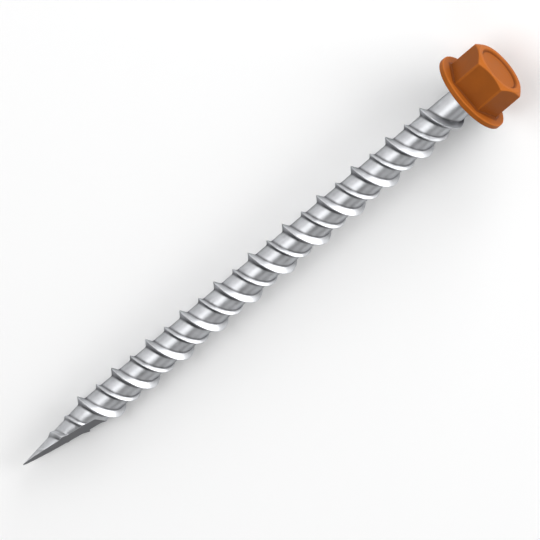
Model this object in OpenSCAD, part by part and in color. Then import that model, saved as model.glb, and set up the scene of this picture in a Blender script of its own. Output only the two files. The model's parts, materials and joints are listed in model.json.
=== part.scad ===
// Panel screw: hex washer head, a high and a low thread on one core, and a point with a slash cut.
// It lies as it comes to rest, on the rim of its washer and on its high thread.
// Millimetres, +Z up, floor at z = 0, head towards +X, origin on the floor below the middle.

/* [Head] */
// Width of the hexagon across its flats
hex_across_flats = 6.35; // [5.5:0.05:7]
// Height of the hexagon above the washer
hex_height = 3.85; // [3:0.05:4.5]
// Diameter of the circle where the corner chamfer meets the top
top_diameter = 6.16; // [5.4:0.02:6.3]
// Slope of the corner chamfer
chamfer_angle = 33; // [20:1:40]
// Diameter of the shallow dish in the top
dish_diameter = 5.3; // [4:0.1:5.3]
// Depth of the dish
dish_depth = 0.25; // [0.05:0.05:0.4]
// Diameter of the washer formed under the hexagon
washer_diameter = 9.2; // [8.4:0.1:10]
// Thickness of the washer
washer_thickness = 0.6; // [0.4:0.05:0.9]
// Small bevel on both edges of the washer's rim
rim_bevel = 0.08; // [0.04:0.02:0.14]
// Radius of the fillet between the washer and the neck
neck_fillet = 0.25; // [0.15:0.05:0.4]

/* [Shank] */
// Length from the bearing face under the washer to the tip
shank_length = 64.9; // [60:0.1:70]
// Diameter of the core between the threads
core_diameter = 3.2; // [2.9:0.05:3.4]
// Length of the tapered point
point_length = 9.7; // [8.5:0.1:11]
// Diameter of the uncut taper at the level of the tip
tip_diameter = 0.88; // [0.6:0.04:1.2]
// Angle between the slash cut and the axis
slash_angle = 9.4; // [8:0.2:11]
// Direction the slash cut faces, turned about the axis from the thread's datum
slash_turn = 158; // [0:1:359]
// Length of the slash cut along the axis, up to where it runs out
slash_length = 10.1; // [8.5:0.1:11]
// Angle between the run-out of the slash cut and the axis
slash_runout = 45; // [30:1:60]

/* [Threads] */
// Advance of each thread in one turn
lead = 5; // [4:0.1:6]
// Crest diameter of the high thread
high_diameter = 4.5; // [4.2:0.05:4.8]
// Crest diameter of the low thread, half a lead from the high one
low_diameter = 3.93; // [3.6:0.01:4.1]
// Width of the flat along each crest
crest_width = 0.1; // [0.06:0.01:0.16]
// Slope of each flank from the plane across the axis
flank_angle = 35; // [25:1:40]
// Distance of the high thread's end from the bearing face
high_neck = 2.1; // [2.05:0.05:3]
// Distance of the low thread's end from the bearing face
low_neck = 3.4; // [3:0.1:5]
// Axial length over which a thread fades out towards the head
runout_length = 1; // [0.6:0.1:2]
// Distance from the tip at which both threads begin
thread_start = 2.4; // [2:0.1:4]

/* [Hidden] */
$fn = 96;

core_r = core_diameter / 2;
tip_r = tip_diameter / 2;
washer_r = washer_diameter / 2;
corner_r = hex_across_flats / sqrt(3);
head_top = washer_thickness + hex_height;
high_rise = high_diameter / 2 - core_r;
fillet_step = 0.02;
clear = 1;

// The high thread crosses its datum line, towards +Y at rest, this far under the bearing face
datum_depth = high_neck + 3.1;
// The shank reaches this far up into the washer
shank_top = washer_thickness / 2;
// Stations around the shank, and whole turns that its grid has below and above the datum
stations = 40;
turns_below = ceil((shank_length - datum_depth) / lead) + 2;
turns_above = ceil((shank_top + datum_depth) / lead) + 1;

// Radius of the core at height z on the axis, with z = 0 at the bearing face and the tip below it
function core_radius(z) =
    min(core_r, tip_r + (core_r - tip_r) * (z + shank_length) / point_length);

// Share of its full height that a thread has at z: it grows along the point and fades at the neck
function thread_share(z, neck) =
    let (grow = (z + shank_length - thread_start) / (point_length - thread_start))
    let (fade = (-neck - z) / runout_length)
    max(0, min(1, grow, fade));

// Section of one thread: root, crest, crest, root, each with its height on the axis, rise and neck
function thread_section(middle, crest_d, neck) =
    let (rise = crest_d / 2 - core_r)
    let (half_crest = crest_width / 2)
    let (half_root = half_crest + rise * tan(flank_angle))
    [
        [middle - half_root, 0, neck],
        [middle - half_crest, rise, neck],
        [middle + half_crest, rise, neck],
        [middle + half_root, 0, neck]
    ];

// Section of the shank along one lead: the high thread, then the low one half a lead above it
lead_section = concat(
    thread_section(0, high_diameter, high_neck),
    thread_section(lead / 2, low_diameter, low_neck)
);
corners = len(lead_section);
rows = (turns_below + turns_above) * corners;

// Point of the shank's grid: rows climb with the threads, and end level at the tip and in the washer
function shank_point(row, station) =
    let (corner = lead_section[row % corners])
    let (turn = floor(row / corners) - turns_below + station / stations)
    let (z = max(-shank_length, min(shank_top, turn * lead - datum_depth + corner[0])))
    let (radius = core_radius(z) + corner[1] * thread_share(z, corner[2]))
    let (angle = 360 * station / stations)
    [radius * cos(angle), radius * sin(angle), z];

// Number of a grid point: past the last station, a row goes on as the row one lead above it
function grid_index(row, station) =
    station < stations ? row * stations + station : (row + corners) * stations;

// Core and both threads in one, from the tip up into the washer
module threaded_shank() {
    points = [
        for (row = [0 : rows + corners], station = [0 : stations - 1])
        shank_point(row, station)
    ];
    sides = [
        for (row = [0 : rows - 1], station = [0 : stations - 1])
        let (a = grid_index(row, station), b = grid_index(row, station + 1))
        let (c = grid_index(row + 1, station + 1), d = grid_index(row + 1, station))
        for (triangle = [[a, c, b], [a, d, c]])
        if (!is_degenerate([for (i = triangle) points[i]]))
        triangle
    ];
    ends = [
        [for (station = [0 : stations - 1]) grid_index(0, station)],
        [for (station = [stations - 1 : -1 : 0]) grid_index(rows, station)]
    ];
    polyhedron(points, concat(sides, ends), convexity = 10);
}

// True where two corners of a triangle fall on one point, as they do past the ends of the grid
function is_degenerate(triangle) =
    triangle[0] == triangle[1] || triangle[1] == triangle[2] || triangle[2] == triangle[0];

// Hexagon with its corners chamfered to a circle and a shallow dish in its top
module hexagon() {
    reach = corner_r + clear;
    difference() {
        intersection() {
            cylinder(h = head_top, r = corner_r, $fn = 6);
            rotate_extrude()
                polygon([
                    [0, 0],
                    [reach, 0],
                    [reach, head_top - (reach - top_diameter / 2) * tan(chamfer_angle)],
                    [top_diameter / 2, head_top],
                    [0, head_top]
                ]);
        }
        translate([0, 0, head_top - dish_depth])
            cylinder(
                h = 2 * dish_depth,
                d1 = dish_diameter - 2 * dish_depth,
                d2 = dish_diameter + 2 * dish_depth
            );
    }
}

// Washer with bevelled rim
module washer() {
    rotate_extrude()
        polygon([
            [0, 0],
            [washer_r - rim_bevel, 0],
            [washer_r, rim_bevel],
            [washer_r, washer_thickness - rim_bevel],
            [washer_r - rim_bevel, washer_thickness],
            [0, washer_thickness]
        ]);
}

// Painted head: hexagon, washer and fillet in one
module head() {
    color("peru") {
        hexagon();
        washer();
        fillet();
    }
}

// Fillet between the washer and the neck, a hair wider than the neck it goes around
module fillet() {
    inner_r = core_r + fillet_step;
    arc = [
        for (a = [0 : 15 : 90])
        [inner_r + neck_fillet * (1 - cos(a)), -neck_fillet * (1 - sin(a))]
    ];
    rotate_extrude()
        polygon(concat(
            [[0, shank_top], [0, -neck_fillet]],
            arc,
            [[inner_r + neck_fillet, shank_top]]
        ));
}

// Everything that the slash cut takes off the point: a slanted flat, then a steeper run-out
module slash() {
    slope = tan(slash_angle);
    inner = slash_length * slope;
    outer = inner + washer_r;
    rotate([0, 0, slash_turn])
        translate([-tip_r, 0, -shank_length])
            rotate([90, 0, 0])
                linear_extrude(washer_diameter, center = true)
                    polygon([
                        [-clear * slope, -clear],
                        [inner, slash_length],
                        [outer, slash_length + washer_r / tan(slash_runout)],
                        [outer, -clear]
                    ]);
}

// Plated shank with its point slashed
module shank() {
    color("silver")
        difference() {
            threaded_shank();
            slash();
        }
}

// Places along the screw where the high thread's crest faces the floor
floor_crests = [
    for (z = [3 * lead / 4 - datum_depth - 12 * lead : lead : -high_neck])
    if (z > thread_start - shank_length)
    z
];
// The rest tilt is set by the first crest that meets the floor
rest_slope = min([
    for (z = floor_crests)
    (washer_r - core_radius(z) - high_rise * thread_share(z, high_neck)) / (rim_bevel - z)
]);
rest_tilt = atan(rest_slope);
rest_height = washer_r * cos(rest_tilt) - rim_bevel * sin(rest_tilt);
head_end = head_top * cos(rest_tilt) + top_diameter / 2 * sin(rest_tilt);
tip_end = -shank_length * cos(rest_tilt) + tip_r * sin(slash_turn) * sin(rest_tilt);
rest_middle = (head_end + tip_end) / 2;

// The whole screw, lying at rest
module screw() {
    translate([-rest_middle, 0, rest_height])
        rotate([0, -rest_tilt, 0])
            rotate([90, 0, 90]) {
                head();
                shank();
            }
}

screw();
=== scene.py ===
import json
import math

import bmesh
import bpy
from mathutils import Matrix, Vector


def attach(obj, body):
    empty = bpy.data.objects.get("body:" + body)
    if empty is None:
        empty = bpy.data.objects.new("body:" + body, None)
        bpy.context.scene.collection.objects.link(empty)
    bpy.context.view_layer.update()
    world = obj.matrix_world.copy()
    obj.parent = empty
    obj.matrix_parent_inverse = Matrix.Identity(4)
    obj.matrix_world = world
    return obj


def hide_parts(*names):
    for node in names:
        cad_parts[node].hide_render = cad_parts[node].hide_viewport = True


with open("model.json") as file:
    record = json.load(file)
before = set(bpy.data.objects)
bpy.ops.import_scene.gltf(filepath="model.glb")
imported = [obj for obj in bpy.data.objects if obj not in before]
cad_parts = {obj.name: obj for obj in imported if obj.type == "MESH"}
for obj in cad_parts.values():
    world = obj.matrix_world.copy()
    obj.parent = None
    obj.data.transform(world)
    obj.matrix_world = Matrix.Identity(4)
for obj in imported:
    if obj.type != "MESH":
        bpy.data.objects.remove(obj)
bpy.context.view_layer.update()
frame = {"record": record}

# Sizes of the screw in millimetres, modelled upright on its own axis: z = 0 is the bearing face
# under the washer, the head is above it and the tip below it.
MM = 0.001

# Head
HEX_ACROSS_FLATS = 6.35
HEX_HEIGHT = 3.85
HEX_EDGE_ROUND = 0.14
HEX_FOOT_FILLET = 0.18
# Turn that brings a corner of the hexagon onto the x axis
HEX_TURN = math.radians(30)
TOP_DIAMETER = 6.16
CHAMFER_ANGLE = math.radians(33)
DISH_DIAMETER = 5.3
DISH_DEPTH = 0.25
HEAD_EDGE_ROUND = 0.05
WASHER_DIAMETER = 9.2
WASHER_THICKNESS = 0.6
RIM_ROUND = 0.1
NECK_FILLET = 0.25
# Height above which the head is painted, on the round at the lower edge of the rim
PAINT_EDGE = 0.03

# Shank
SHANK_LENGTH = 64.9
CORE_DIAMETER = 3.2
POINT_LENGTH = 9.7
TIP_DIAMETER = 0.88
SLASH_ANGLE = math.radians(9.4)
SLASH_TURN = math.radians(158)
SLASH_LENGTH = 10.1
SLASH_RUNOUT = math.radians(45)
# Depth under the bearing face at which the swept shank ends and the neck goes on
NECK_JOINT = 1.2

# Threads
LEAD = 5
HIGH_DIAMETER = 4.5
LOW_DIAMETER = 3.93
CREST_WIDTH = 0.1
CREST_ROUND = 0.035
ROOT_ROUND = 0.14
FLANK_ANGLE = math.radians(35)
HIGH_NECK = 2.1
LOW_NECK = 3.4
RUNOUT_LENGTH = 1
THREAD_START = 2.4
# Depth under the bearing face at which the high thread crosses its datum line
DATUM_DEPTH = HIGH_NECK + 3.1

CORE_R = CORE_DIAMETER / 2
TIP_R = TIP_DIAMETER / 2
WASHER_R = WASHER_DIAMETER / 2
TOP_R = TOP_DIAMETER / 2
CORNER_R = HEX_ACROSS_FLATS / math.sqrt(3)
HEAD_TOP = WASHER_THICKNESS + HEX_HEIGHT

# The tip lies on the rim of the uncut point, opposite the slash
TIP = Vector((-TIP_R * math.cos(SLASH_TURN), -TIP_R * math.sin(SLASH_TURN), -SHANK_LENGTH))

# Fineness of the meshes: stations in a turn, and whole turns swept to cover the shank
TURN_STEPS = 96
TURNS_BELOW = math.ceil((SHANK_LENGTH - DATUM_DEPTH) / LEAD) + 1
TURNS = TURNS_BELOW + 2
# Rings round the flats and beside the roots, which keep the finish of an edge near that edge
FLAT_RING = 0.04
ROOT_RING = 0.26
# Area in square millimetres above which a face counts as one of the large flats
SMALLEST_FLAT = 4
# How far a cutting shape reaches past what it cuts
CLEAR = 1
# Edges that turn by more than the first are rounded, and by more than the second shaded sharp
SOFTENED_ANGLE = math.radians(25)
SHARP_ANGLE = math.radians(30)
# Distances within which vertices count as one: in general, on a level cut and beside the chamfer
WELD = 0.0005
CUT_WELD = WELD / 10
CHAMFER_WELD = WELD * 10

# The picture: where the screw lies in it, and how far its head leans towards the viewer
PICTURE_SIZE = 540
TIP_PIXEL = (22, 466)
MM_PER_PIXEL = 0.105
AXIS_TURN = math.radians(40.1)
HEAD_LEAN = math.radians(20)
# A long lens, because the picture is drawn without perspective
LENS = 1500
SENSOR = 36


# Modelling tools

def deselect():
    """Leaves nothing selected, so that an operator acts only on the piece in hand."""
    bpy.ops.object.select_all(action="DESELECT")


def work_on(piece, mode):
    """Makes a piece the only selected one and opens it in a mode."""
    if bpy.context.object and bpy.context.object.mode != "OBJECT":
        bpy.ops.object.mode_set(mode="OBJECT")
    deselect()
    piece.select_set(True)
    bpy.context.view_layer.objects.active = piece
    bpy.ops.object.mode_set(mode=mode)


def pick(piece, kind, test):
    """Selects, in edit mode, the vertices, edges or faces that pass a test."""
    bpy.ops.mesh.select_mode(type=kind)
    bpy.ops.mesh.select_all(action="DESELECT")
    shape = bmesh.from_edit_mesh(piece.data)
    for element in {"VERT": shape.verts, "EDGE": shape.edges, "FACE": shape.faces}[kind]:
        if test(element):
            element.select_set(True)
    shape.select_flush_mode()
    bmesh.update_edit_mesh(piece.data)


def looks_up(face):
    """True for a level face that looks up towards the head's end."""
    return face.normal.z > 0.99


def face_outwards():
    """Selects the whole mesh in edit mode and turns its faces outwards."""
    bpy.ops.mesh.select_all(action="SELECT")
    bpy.ops.mesh.normals_make_consistent(inside=False)


def apply_modifier(piece, modifier):
    """Applies a modifier to the piece in object mode."""
    work_on(piece, "OBJECT")
    bpy.ops.object.modifier_apply(modifier=modifier.name)


def combine(piece, tool, operation):
    """Cuts or joins the piece with another closed shape, which is used up."""
    cut = piece.modifiers.new("combine", "BOOLEAN")
    cut.operation = operation
    cut.solver = "EXACT"
    cut.object = tool
    apply_modifier(piece, cut)
    bpy.data.objects.remove(tool)


def draw_profile(name, corners):
    """Draws a wire in the XZ plane: a plane merged to one vertex, then extruded corner by corner."""
    deselect()
    bpy.ops.mesh.primitive_plane_add(size=1)
    piece = bpy.context.object
    piece.name = name
    bpy.ops.object.mode_set(mode="EDIT")
    bpy.ops.mesh.select_all(action="SELECT")
    bpy.ops.mesh.merge(type="CENTER")
    bpy.ops.transform.translate(value=(corners[0][0], 0, corners[0][1]))
    for start, end in zip(corners, corners[1:]):
        step = (end[0] - start[0], 0, end[1] - start[1])
        bpy.ops.mesh.extrude_region_move(TRANSFORM_OT_translate={"value": step})
    return piece


def extrude_rings(rings):
    """Extrudes the selected round face through rings, each a radius and a height."""
    for (last_r, last_z), (radius, z) in zip(rings, rings[1:]):
        bpy.ops.mesh.extrude_region_move(TRANSFORM_OT_translate={"value": (0, 0, z - last_z)})
        scale = radius / last_r
        bpy.ops.transform.resize(value=(scale, scale, 1), center_override=(0, 0, z))


def quarter_arc(middle, radius, start, end, steps):
    """Points of an arc in radius and height, from one angle to another in degrees."""
    angles = [math.radians(start + (end - start) * i / steps) for i in range(steps + 1)]
    return [(middle[0] + radius * math.cos(a), middle[1] + radius * math.sin(a)) for a in angles]


# The shank: core, high thread, low thread, point and slash

def half_root(crest_d):
    """Half the width of a thread at its root."""
    return CREST_WIDTH / 2 + (crest_d / 2 - CORE_R) * math.tan(FLANK_ANGLE)


def thread_corners(middle, crest_d):
    """Root, crest, crest and root of one thread's section, with the core on both sides of it."""
    root = half_root(crest_d)
    return [
        (CORE_R, middle - root - ROOT_RING),
        (CORE_R, middle - root),
        (crest_d / 2, middle - CREST_WIDTH / 2),
        (crest_d / 2, middle + CREST_WIDTH / 2),
        (CORE_R, middle + root),
        (CORE_R, middle + root + ROOT_RING),
    ]


def thread_share(z, neck):
    """Share of its height that a thread has at z: it grows along the point and eases out at the neck."""
    grow = (z + SHANK_LENGTH - THREAD_START) / (POINT_LENGTH - THREAD_START)
    fade = max(0, min(1, (-neck - z) / RUNOUT_LENGTH))
    return max(0, min(1, grow, fade * fade * (3 - 2 * fade)))


def point_scale(z):
    """How much the taper of the point draws the shank in at z."""
    along = max(0, min(1, (z + SHANK_LENGTH) / POINT_LENGTH))
    return (TIP_R + (CORE_R - TIP_R) * along) / CORE_R


def neck_of_thread(spot):
    """End height of whichever thread passes nearest to a spot on the shank."""
    turn = math.atan2(spot.y, spot.x) / (2 * math.pi)
    phase = ((spot.z + DATUM_DEPTH) / LEAD - turn) % 1
    on_high = phase < 0.25 or phase > 0.75
    return HIGH_NECK if on_high else LOW_NECK


def sweep_threads():
    """Both threads and the core: the section of one lead, its corners rounded, swept up the axis."""
    bottom = -DATUM_DEPTH - TURNS_BELOW * LEAD
    threads = ((bottom, HIGH_DIAMETER), (bottom + LEAD / 2, LOW_DIAMETER))

    def is_root(vertex):
        return any(abs(abs(vertex.co.z - z) - half_root(crest_d)) < WELD for z, crest_d in threads)

    section = [corner for thread in threads for corner in thread_corners(*thread)]
    wire = [(CORE_R, bottom - LEAD / 4)] + section + [(CORE_R, bottom + 3 * LEAD / 4)]
    shank = draw_profile("screw_body", wire)
    pick(shank, "VERT", lambda v: v.co.x > CORE_R + WELD)
    bpy.ops.mesh.bevel(offset=CREST_ROUND, segments=3, affect="VERTICES")
    pick(shank, "VERT", is_root)
    bpy.ops.mesh.bevel(offset=ROOT_ROUND, segments=4, affect="VERTICES")
    bpy.ops.object.mode_set(mode="OBJECT")
    sweep = shank.modifiers.new("threads", "SCREW")
    sweep.axis = "Z"
    sweep.angle = 2 * math.pi
    sweep.screw_offset = LEAD
    sweep.iterations = TURNS
    sweep.steps = TURN_STEPS
    sweep.render_steps = TURN_STEPS
    apply_modifier(shank, sweep)
    work_on(shank, "EDIT")
    bpy.ops.mesh.select_all(action="SELECT")
    bpy.ops.mesh.remove_doubles(threshold=WELD)
    face_outwards()
    bpy.ops.object.mode_set(mode="OBJECT")
    return shank


def fade_threads(shank):
    """Sinks the threads into the core towards the tip and towards the neck."""
    sunk = shank.vertex_groups.new(name="sunk")
    for vertex in shank.data.vertices:
        z = vertex.co.z
        share = thread_share(z, neck_of_thread(vertex.co)) / point_scale(z)
        sunk.add([vertex.index], 1 - share, "REPLACE")
    sink = shank.modifiers.new("sink", "CAST")
    sink.cast_type = "CYLINDER"
    sink.use_z = False
    sink.use_radius_as_size = False
    sink.size = CORE_R
    sink.factor = 1
    sink.vertex_group = sunk.name
    apply_modifier(shank, sink)
    shank.vertex_groups.remove(shank.vertex_groups["sunk"])


def cut_level(shank, z, keep_above):
    """Cuts the shank level at z and closes the cut with a face, which stays selected."""
    work_on(shank, "EDIT")
    bpy.ops.mesh.select_all(action="SELECT")
    bpy.ops.mesh.bisect(
        plane_co=(0, 0, z),
        plane_no=(0, 0, 1),
        use_fill=True,
        clear_inner=keep_above,
        clear_outer=not keep_above,
        threshold=CUT_WELD,
    )


def taper_point(shank):
    """Draws the end of the shank in to the uncut point."""
    level = SHANK_LENGTH - POINT_LENGTH
    bpy.ops.mesh.select_all(action="SELECT")
    bpy.ops.transform.translate(value=(0, 0, level))
    bpy.ops.object.mode_set(mode="OBJECT")
    taper = shank.modifiers.new("point", "SIMPLE_DEFORM")
    taper.deform_method = "TAPER"
    taper.deform_axis = "Z"
    taper.factor = 1 - TIP_R / CORE_R
    taper.limits = (0, POINT_LENGTH / (SHANK_LENGTH - NECK_JOINT))
    apply_modifier(shank, taper)
    work_on(shank, "EDIT")
    bpy.ops.mesh.select_all(action="SELECT")
    bpy.ops.transform.translate(value=(0, 0, -level))
    bpy.ops.object.mode_set(mode="OBJECT")


def slash_point(shank):
    """Cuts the slash that makes the point bite: a slanted flat, then a steeper run-out."""
    slope = math.tan(SLASH_ANGLE)
    inner = SLASH_LENGTH * slope
    outer = inner + WASHER_R
    cutter = draw_profile("cutter", [
        (-CLEAR * slope, -CLEAR),
        (inner, SLASH_LENGTH),
        (outer, SLASH_LENGTH + WASHER_R / math.tan(SLASH_RUNOUT)),
        (outer, -CLEAR),
    ])
    bpy.ops.mesh.select_all(action="SELECT")
    bpy.ops.mesh.edge_face_add()
    bpy.ops.transform.translate(value=(-TIP_R, -WASHER_R, -SHANK_LENGTH))
    bpy.ops.mesh.extrude_region_move(TRANSFORM_OT_translate={"value": (0, WASHER_DIAMETER, 0)})
    face_outwards()
    bpy.ops.transform.rotate(value=-SLASH_TURN, orient_axis="Z", center_override=(0, 0, 0))
    bpy.ops.object.mode_set(mode="OBJECT")
    combine(shank, cutter, "DIFFERENCE")


def form_neck_and_washer(shank):
    """Draws the neck, its fillet and the washer up from the end of the shank."""
    def is_joint(face):
        return looks_up(face) and abs(face.calc_center_median().z + NECK_JOINT) < WELD

    flat_r = WASHER_R - RIM_ROUND
    foot_r = CORNER_R + 2 * HEX_FOOT_FILLET
    upper_z = WASHER_THICKNESS - RIM_ROUND
    neck = [(CORE_R, -NECK_JOINT), (CORE_R, -NECK_FILLET - FLAT_RING)]
    fillet = quarter_arc((CORE_R + NECK_FILLET, -NECK_FILLET), NECK_FILLET, 180, 90, 6)
    under = [(CORE_R + NECK_FILLET + FLAT_RING, 0), (flat_r - FLAT_RING, 0)]
    lower_rim = quarter_arc((flat_r, RIM_ROUND), RIM_ROUND, -90, 0, 4)
    rim = [(WASHER_R, RIM_ROUND + FLAT_RING), (WASHER_R, upper_z - FLAT_RING)]
    upper_rim = quarter_arc((flat_r, upper_z), RIM_ROUND, 0, 90, 4)
    over = [(flat_r - FLAT_RING, WASHER_THICKNESS), (foot_r, WASHER_THICKNESS)]
    work_on(shank, "EDIT")
    pick(shank, "FACE", is_joint)
    extrude_rings(neck + fillet + under + lower_rim + rim + upper_rim + over)
    bpy.ops.object.mode_set(mode="OBJECT")


# The hexagon

def chamfer_cone():
    """A turned block that takes the corners of the hexagon off to a circle."""
    reach = CORNER_R + CLEAR
    slope_z = HEAD_TOP - (reach - TOP_R) * math.tan(CHAMFER_ANGLE)
    deselect()
    bpy.ops.mesh.primitive_circle_add(vertices=TURN_STEPS, radius=reach, fill_type="NGON")
    cone = bpy.context.object
    bpy.ops.object.mode_set(mode="EDIT")
    bpy.ops.mesh.select_all(action="SELECT")
    extrude_rings([(reach, 0), (reach, slope_z), (TOP_R, HEAD_TOP)])
    face_outwards()
    bpy.ops.object.mode_set(mode="OBJECT")
    return cone


def form_hexagon():
    """The hexagon with rounded edges, chamfered corners and a shallow dish in its top."""
    foot = WASHER_THICKNESS / 2
    height = HEAD_TOP + CLEAR - foot
    deselect()
    bpy.ops.mesh.primitive_cylinder_add(
        vertices=6,
        radius=CORNER_R,
        depth=height,
        location=(0, 0, foot + height / 2),
        rotation=(0, 0, HEX_TURN),
    )
    hexagon = bpy.context.object
    bpy.ops.object.transform_apply(location=True, rotation=True, scale=True)
    work_on(hexagon, "EDIT")
    pick(hexagon, "EDGE", lambda e: abs(e.verts[0].co.z - e.verts[1].co.z) > height / 2)
    bpy.ops.mesh.bevel(offset=HEX_EDGE_ROUND, segments=4, affect="EDGES")
    bpy.ops.object.mode_set(mode="OBJECT")
    combine(hexagon, chamfer_cone(), "INTERSECT")
    work_on(hexagon, "EDIT")
    bpy.ops.mesh.select_all(action="SELECT")
    bpy.ops.mesh.remove_doubles(threshold=CHAMFER_WELD)
    pick(hexagon, "FACE", looks_up)
    bpy.ops.mesh.dissolve_faces()
    pick(hexagon, "FACE", looks_up)
    bpy.ops.mesh.inset(thickness=TOP_R - DISH_DIAMETER / 2)
    bpy.ops.mesh.inset(thickness=DISH_DEPTH, depth=-DISH_DEPTH)
    bpy.ops.object.mode_set(mode="OBJECT")
    soften = hexagon.modifiers.new("soften", "BEVEL")
    soften.width = HEAD_EDGE_ROUND
    soften.segments = 3
    soften.limit_method = "ANGLE"
    soften.angle_limit = SOFTENED_ANGLE
    apply_modifier(hexagon, soften)
    return hexagon


def ring_flats(screw):
    """Insets the six flats and the floor of the dish, so that an edge's finish stays near the edge."""
    def is_flat(face):
        middle = face.calc_center_median()
        upright = abs(face.normal.z) < 0.01 and middle.z > WASHER_THICKNESS
        floor = looks_up(face) and abs(middle.z - HEAD_TOP + DISH_DEPTH) < WELD
        return face.calc_area() > SMALLEST_FLAT and (upright or floor)

    work_on(screw, "EDIT")
    pick(screw, "FACE", is_flat)
    bpy.ops.mesh.inset(thickness=FLAT_RING, use_individual=True)
    bpy.ops.mesh.inset(thickness=FLAT_RING, use_individual=True)
    bpy.ops.object.mode_set(mode="OBJECT")


def blend_hexagon_foot(screw):
    """Rounds the inner corner between the hexagon and the washer."""
    def on_foot(edge):
        level = all(abs(v.co.z - WASHER_THICKNESS) < WELD for v in edge.verts)
        return level and any(abs(f.normal.z) < 0.1 for f in edge.link_faces)

    work_on(screw, "EDIT")
    pick(screw, "EDGE", on_foot)
    bpy.ops.mesh.bevel(offset=HEX_FOOT_FILLET, segments=4, affect="EDGES")
    bpy.ops.object.mode_set(mode="OBJECT")


def form_screw():
    """The whole screw as one closed mesh, upright and in millimetres."""
    screw = sweep_threads()
    fade_threads(screw)
    cut_level(screw, -SHANK_LENGTH, keep_above=True)
    cut_level(screw, -NECK_JOINT, keep_above=False)
    taper_point(screw)
    slash_point(screw)
    form_neck_and_washer(screw)
    combine(screw, form_hexagon(), "UNION")
    blend_hexagon_foot(screw)
    ring_flats(screw)
    return screw


# Material tools

# Name of the value that says how a vertex lies: 0 in a hollow, 0.5 on a flat and 1 along an edge
RELIEF = "relief"
# Tint of bare metal seen at a glancing angle, dark so that its outline shows on a pale ground
METAL_GLANCE = (0.15, 0.155, 0.165, 1)


def new_material(name):
    """A material and its shader."""
    material = bpy.data.materials.new(name)
    material.use_nodes = True
    return material, material.node_tree.nodes["Principled BSDF"]


def add_node(material, kind, **values):
    """Adds a node to a material and sets its own values or those of its sockets."""
    node = material.node_tree.nodes.new(kind)
    for key, value in values.items():
        if hasattr(node, key):
            setattr(node, key, value)
        else:
            node.inputs[key.replace("_", " ")].default_value = value
    return node


def link(material, source, target):
    """Links two sockets of a material's nodes."""
    material.node_tree.links.new(source, target)


def spot_on_screw(material):
    """Where a spot lies on the screw."""
    return add_node(material, "ShaderNodeTexCoord").outputs["Object"]


def noise(material, spot, scale, detail):
    """Noise that goes by the spot on the screw."""
    cloud = add_node(material, "ShaderNodeTexNoise", Scale=scale, Detail=detail)
    link(material, spot, cloud.inputs["Vector"])
    return cloud.outputs["Fac"]


def spread(material, value, low, high):
    """Spreads the middle values of a noise from low to high."""
    span = add_node(material, "ShaderNodeMapRange", From_Min=0.3, From_Max=0.7, To_Min=low, To_Max=high)
    link(material, value, span.inputs["Value"])
    return span.outputs["Result"]


def relief_tint(material, hollow_end, hollow, flat, edge):
    """Tint by relief: one up to the end of the hollows, one on the flats and one along the edges."""
    relief = add_node(material, "ShaderNodeAttribute", attribute_name=RELIEF)
    ramp = add_node(material, "ShaderNodeValToRGB")
    stops = ramp.color_ramp.elements
    stops[0].position = hollow_end
    stops[0].color = (*hollow, 1)
    stops[1].color = (*edge, 1)
    stops.new(0.5).color = (*flat, 1)
    link(material, relief.outputs["Fac"], ramp.inputs["Fac"])
    return ramp.outputs["Color"]


def shaded(material, tint, shade):
    """A tint made lighter or darker by a shade."""
    product = add_node(material, "ShaderNodeVectorMath", operation="SCALE")
    link(material, tint, product.inputs[0])
    link(material, shade, product.inputs["Scale"])
    return product.outputs["Vector"]


def link_finish(material, tint, rough, skin, strength, depth):
    """Gives a material its tint, its roughness and the fine bumps of its skin."""
    shader = material.node_tree.nodes["Principled BSDF"]
    bump = add_node(material, "ShaderNodeBump", Strength=strength, Distance=depth)
    link(material, skin, bump.inputs["Height"])
    link(material, tint, shader.inputs["Base Color"])
    link(material, rough, shader.inputs["Roughness"])
    link(material, bump.outputs["Normal"], shader.inputs["Normal"])


# Finishes

def zinc_plate():
    """Bright zinc plating: satin metal, darkened with painted shade in the thread roots and polished
    along the crests.
    """
    material, shader = new_material("zinc_plate")
    shader.inputs["Metallic"].default_value = 1
    shader.inputs["Specular Tint"].default_value = METAL_GLANCE
    spot = spot_on_screw(material)
    mottle = noise(material, spot, scale=900, detail=3)
    grain = noise(material, spot, scale=9000, detail=2)
    tint = relief_tint(
        material,
        hollow_end=0.12,
        # Painted shade: the hollows, the thread roots, are darkened almost to black
        hollow=(0.12, 0.12, 0.13),
        flat=(0.63, 0.64, 0.66),
        edge=(0.76, 0.77, 0.79),
    )
    tint = shaded(material, tint, spread(material, mottle, 0.88, 1.1))
    rough = spread(material, mottle, 0.38, 0.48)
    link_finish(material, tint, rough, grain, strength=0.12, depth=0.00002)
    return material


def brown_paint():
    """Baked brown paint on the head: a soft gloss, a fine orange-peel skin, painted shade in the hollows
    where the paint also lies thicker, and lighter along the edges as thinner paint and a painted
    highlight.
    """
    material, shader = new_material("brown_paint")
    shader.inputs["Specular IOR Level"].default_value = 0.05
    spot = spot_on_screw(material)
    cloud = noise(material, spot, scale=500, detail=2)
    peel = noise(material, spot, scale=3500, detail=1)
    tint = relief_tint(
        material,
        hollow_end=0.25,
        # Painted shade in the hollows, where the paint also lies thicker; the edges are lighter as
        # thinner paint and a painted highlight
        hollow=(0.14, 0.035, 0.005),
        flat=(0.3, 0.083, 0.011),
        edge=(0.35, 0.1, 0.016),
    )
    tint = shaded(material, tint, spread(material, cloud, 0.93, 1.07))
    rough = spread(material, cloud, 0.4, 0.52)
    link_finish(material, tint, rough, peel, strength=0.15, depth=0.00004)
    return material


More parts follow.
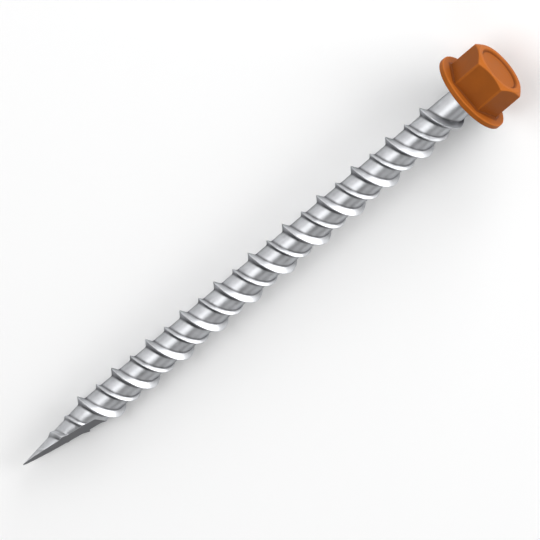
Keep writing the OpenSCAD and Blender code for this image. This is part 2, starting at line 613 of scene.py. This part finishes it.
def slash_painted_shade():
    """The face of the slash: steel dulled by the cutter, with fine marks across it, and darkened with
    painted shade.
    """
    material, shader = new_material("slash_painted_shade")
    shader.inputs["Metallic"].default_value = 1
    shader.inputs["Specular Tint"].default_value = METAL_GLANCE
    across = add_node(material, "ShaderNodeMapping", Scale=(12000, 600, 600))
    link(material, spot_on_screw(material), across.inputs["Vector"])
    marks = noise(material, across.outputs["Vector"], scale=1, detail=3)
    mix = add_node(material, "ShaderNodeMix", data_type="RGBA")
    # Painted shade: dark steel tones stand for the shade on the slash face
    mix.inputs["A"].default_value = (0.22, 0.22, 0.23, 1)
    mix.inputs["B"].default_value = (0.37, 0.37, 0.38, 1)
    link(material, marks, mix.inputs["Factor"])
    rough = spread(material, marks, 0.42, 0.55)
    link_finish(material, mix.outputs["Result"], rough, marks, strength=0.2, depth=0.00002)
    return material


def mark_relief(screw):
    """Notes at each vertex whether it lies in a hollow, on a flat or along an edge, for the finishes."""
    work_on(screw, "OBJECT")
    bpy.ops.geometry.color_attribute_add(name=RELIEF, domain="CORNER", color=(1, 1, 1, 1))
    bpy.ops.object.mode_set(mode="VERTEX_PAINT")
    # Blender's dirt operator only measures how hollow or sharp each vertex is; the finishes use the
    # hollows for painted shade
    bpy.ops.paint.vertex_color_dirt(
        blur_strength=1,
        blur_iterations=1,
        dirt_angle=math.radians(83),
        clean_angle=math.radians(97),
    )
    bpy.ops.object.mode_set(mode="OBJECT")
    screw.data.attributes.active = screw.data.attributes[RELIEF]
    bpy.ops.geometry.attribute_convert(mode="GENERIC", domain="POINT", data_type="FLOAT")


def finish_faces(screw, material, test):
    """Gives a finish to the faces that pass a test."""
    screw.data.materials.append(material)
    pick(screw, "FACE", test)
    screw.active_material_index = len(screw.data.materials) - 1
    bpy.ops.object.material_slot_assign()


def dress_screw(screw):
    """Zinc all over, the head painted down to the lower edge of its washer, and the slash darkened with
    painted shade.
    """
    def is_head(face):
        return face.calc_center_median().z > PAINT_EDGE

    def is_slash(face):
        middle = face.calc_center_median()
        out = Vector((math.cos(SLASH_TURN), math.sin(SLASH_TURN)))
        along = middle.z + SHANK_LENGTH
        flat = along * math.tan(SLASH_ANGLE)
        runout = SLASH_LENGTH * math.tan(SLASH_ANGLE) + (along - SLASH_LENGTH) * math.tan(SLASH_RUNOUT)
        return abs(middle.xy.dot(out) + TIP_R - max(flat, runout)) < WELD

    screw.data.materials.clear()
    work_on(screw, "EDIT")
    finish_faces(screw, zinc_plate(), lambda face: True)
    finish_faces(screw, brown_paint(), is_head)
    finish_faces(screw, slash_painted_shade(), is_slash)
    face_outwards()
    bpy.ops.object.mode_set(mode="OBJECT")
    bpy.ops.object.shade_smooth_by_angle(angle=SHARP_ANGLE)
    flatten = screw.modifiers.new("flatten", "WEIGHTED_NORMAL")
    flatten.keep_sharp = True
    apply_modifier(screw, flatten)
    mark_relief(screw)


# Place of the screw in the frame, read from the mount on top of its head: its own x, y and z axes
# go to its side, to its front and along its axis

drive = next(mount for mount in frame["record"]["mounts"] if mount["name"] == "hex_drive")
axis = Vector(drive["axis"]).normalized()
side = Vector((0, 1, 0))
front = axis.cross(side)
place = Matrix((side, front, axis)).transposed().to_4x4()
place.translation = Vector(drive["pos_m"]) - axis * HEAD_TOP * MM

screw = form_screw()
dress_screw(screw)
screw.matrix_world = place @ Matrix.Scale(MM, 4)
work_on(screw, "OBJECT")
bpy.ops.object.transform_apply(location=True, rotation=True, scale=True)
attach(screw, "root")
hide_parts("screw")


# Camera: it looks down on the screw as the picture does, with the head leaning towards it

def add_camera():
    """A long lens turned so that the screw runs up across the picture."""
    view = axis * math.sin(HEAD_LEAN) + front * math.cos(HEAD_LEAN)
    along = (axis - view * axis.dot(view)).normalized()
    right = along * math.cos(AXIS_TURN) - side * math.sin(AXIS_TURN)
    up = along * math.sin(AXIS_TURN) + side * math.cos(AXIS_TURN)
    tip = place @ (TIP * MM)
    middle = place @ Vector((0, 0, -SHANK_LENGTH / 2 * MM))
    pixel = MM_PER_PIXEL * MM
    target = tip + right * (PICTURE_SIZE / 2 - TIP_PIXEL[0]) * pixel
    target -= up * (PICTURE_SIZE / 2 - TIP_PIXEL[1]) * pixel
    target += view * (middle - target).dot(view)
    distance = PICTURE_SIZE * pixel * LENS / SENSOR
    data = bpy.data.cameras.new("camera")
    data.lens = LENS
    data.sensor_width = SENSOR
    data.clip_end = 10
    camera = bpy.data.objects.new("camera", data)
    camera.matrix_world = Matrix((right, up, view)).transposed().to_4x4()
    camera.matrix_world.translation = target + view * distance
    bpy.context.scene.collection.objects.link(camera)
    bpy.context.scene.camera = camera


# Floor and light, in metres

FLOOR_SIZE = 3
SOFTBOX_DISTANCE = 0.6


def add_floor():
    """A plain pale floor under the screw."""
    deselect()
    bpy.ops.mesh.primitive_plane_add(size=FLOOR_SIZE)
    floor = bpy.context.object
    floor.name = "floor"
    material, shader = new_material("pale_floor")
    shader.inputs["Base Color"].default_value = (0.9, 0.9, 0.9, 1)
    shader.inputs["Roughness"].default_value = 0.9
    shader.inputs["Specular IOR Level"].default_value = 0.1
    floor.data.materials.append(material)


def add_softbox(name, direction, width, height, strength):
    """A softbox that faces the screw. A strength of 1 turns white paper that faces it white."""
    data = bpy.data.lights.new(name, "AREA")
    data.shape = "RECTANGLE"
    data.size = width
    data.size_y = height
    data.energy = 4 * math.pi * SOFTBOX_DISTANCE**2 * strength
    box = bpy.data.objects.new(name, data)
    towards = Vector(direction).normalized()
    box.location = towards * SOFTBOX_DISTANCE
    box.rotation_euler = towards.to_track_quat("Z", "Y").to_euler()
    box.visible_camera = False
    bpy.context.scene.collection.objects.link(box)


def add_world(strength):
    """Even pale light from all round."""
    world = bpy.data.worlds.new("studio")
    world.use_nodes = True
    sky = world.node_tree.nodes["Background"]
    sky.inputs["Color"].default_value = (1, 1, 1, 1)
    sky.inputs["Strength"].default_value = strength
    bpy.context.scene.world = world


add_camera()
add_floor()
add_softbox("head_softbox", direction=(0.92, -0.03, 0.4), width=1.0, height=0.4, strength=1.65)
add_softbox("top_softbox", direction=(-0.3, 0.32, 0.88), width=0.45, height=0.45, strength=0.36)
add_softbox("side_softbox", direction=(-0.3, 0.87, 0.38), width=0.5, height=0.25, strength=0.13)
add_softbox("fill_softbox", direction=(-0.3, -0.75, 0.55), width=0.45, height=0.35, strength=0.09)
add_world(strength=0.08)
bpy.context.scene.view_settings.view_transform = "Standard"
